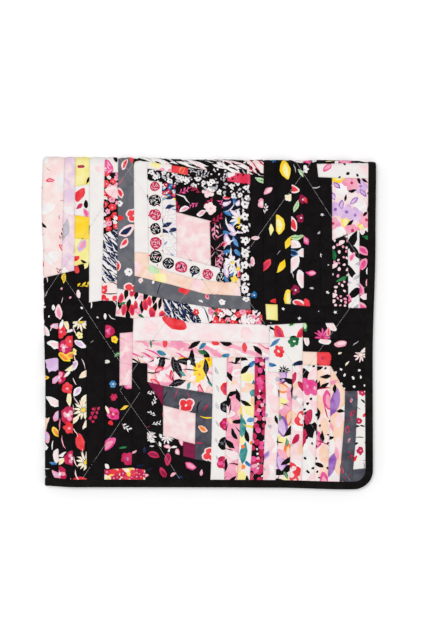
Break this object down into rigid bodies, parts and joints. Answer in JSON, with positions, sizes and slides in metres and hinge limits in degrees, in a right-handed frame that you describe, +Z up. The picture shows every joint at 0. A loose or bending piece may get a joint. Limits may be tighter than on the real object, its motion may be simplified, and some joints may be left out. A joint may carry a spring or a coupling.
{
  "type": "patchwork throw",
  "caption": "Quilted patchwork throw with a dark bound edge, folded in half both ways into a square and lying flat.",
  "frame": {"origin": "on the surface that the folded throw lies on, under the middle of the stack's outline", "axes": "+Z up through the stack; +Y towards the doubled fold at the top of the picture; +X towards the bound side edge, with the first fold on the -X side"},
  "size_m": [0.6407, 0.6384, 0.0312],
  "materials": {
    "patchwork_cotton": "printed cotton patchwork in black, white, pink, red and yellow, matt, quilted over a thin wadding",
    "binding_cotton": "plain black cotton, matt, slightly rippled"
  },
  "bodies": {
    "root": {"quilted_panel": "patchwork_cotton", "binding": "binding_cotton"}
  },
  "joints": []
}
